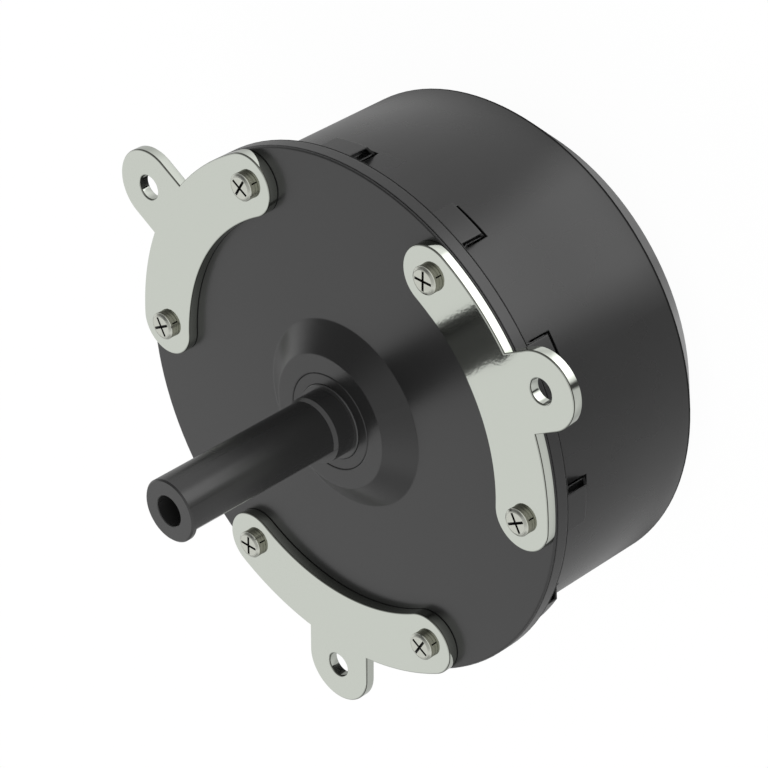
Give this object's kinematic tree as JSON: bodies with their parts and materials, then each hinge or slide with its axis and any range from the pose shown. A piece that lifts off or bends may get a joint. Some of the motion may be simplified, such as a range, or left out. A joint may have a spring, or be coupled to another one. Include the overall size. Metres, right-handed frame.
{
  "type": "brushless hub motor",
  "caption": "Brushless hub motor: a closed drum with a clipped cover and eared steel brackets turns on ball bearings about a fixed hollow D-flat shaft.",
  "frame": {"origin": "centre of the drum's closed rear face, on the motor axis", "axes": "+Z along the fixed shaft towards its tip, +X through the first bracket's ear; the part stands on its rear face"},
  "size_m": [0.1076, 0.1052, 0.0847],
  "materials": {
    "drum_black": "satin dark grey coating",
    "shaft_black": "satin black oxide",
    "nickel": "polished nickel plate",
    "bearing_steel": "ground",
    "cage_plastic": "natural polyamide",
    "seal_rubber": "matte",
    "sleeve_black": "satin",
    "back_iron": "zinc plated",
    "magnet": "nickel plated sintered magnet",
    "lamination": "stacked electrical steel",
    "carrier_aluminium": "machined",
    "insulator": "glass-filled nylon",
    "copper": "enamelled copper wire",
    "board": "green solder mask",
    "chip": "moulded package"
  },
  "bodies": {
    "stator": {"shaft": "shaft_black", "rear_bearing_inner_ring": "bearing_steel", "front_bearing_inner_ring": "bearing_steel", "retaining_ring_rear": "bearing_steel", "retaining_ring_stator": "bearing_steel", "retaining_ring_front": "bearing_steel", "board_screws": "bearing_steel", "spacer_sleeve": "sleeve_black", "stator_core": "lamination", "stator_carrier": "carrier_aluminium", "insulator_rear": "insulator", "insulator_front": "insulator", "coil_1": "copper", "coil_2": "copper", "coil_3": "copper", "coil_4": "copper", "coil_5": "copper", "coil_6": "copper", "coil_7": "copper", "coil_8": "copper", "coil_9": "copper", "coil_10": "copper", "coil_11": "copper", "coil_12": "copper", "sensor_board": "board", "hall_sensors": "chip", "driver_chips": "chip"},
    "rotor": {"housing": "drum_black", "front_cover": "drum_black", "bracket_1": "nickel", "bracket_2": "nickel", "bracket_3": "nickel", "screw_1": "nickel", "screw_2": "nickel", "screw_3": "nickel", "screw_4": "nickel", "screw_5": "nickel", "screw_6": "nickel", "rear_bearing_outer_ring": "bearing_steel", "front_bearing_outer_ring": "bearing_steel", "wave_washer": "bearing_steel", "dust_seal": "seal_rubber", "back_iron_ring": "back_iron", "magnets_north": "magnet", "magnets_south": "magnet"},
    "front_cage": {"front_bearing_cage": "cage_plastic", "front_bearing_balls": "bearing_steel"},
    "rear_cage": {"rear_bearing_cage": "cage_plastic", "rear_bearing_balls": "bearing_steel"}
  },
  "joints": [
    {"name": "rotor_spin", "type": "hinge", "parent": "stator", "child": "rotor", "pos_m": [0, 0, 0], "axis": [0, 0, 1], "continuous": true},
    {"name": "front_cage_spin", "type": "hinge", "parent": "stator", "child": "front_cage", "pos_m": [0, 0, 0.0425], "axis": [0, 0, 1], "continuous": true},
    {"name": "rear_cage_spin", "type": "hinge", "parent": "stator", "child": "rear_cage", "pos_m": [0, 0, 0.0066], "axis": [0, 0, 1], "continuous": true}
  ],
  "couplings": [
    {"joint": "front_cage_spin", "follows": "rotor_spin", "ratio": 0.5939},
    {"joint": "rear_cage_spin", "follows": "rotor_spin", "ratio": 0.5939}
  ]
}
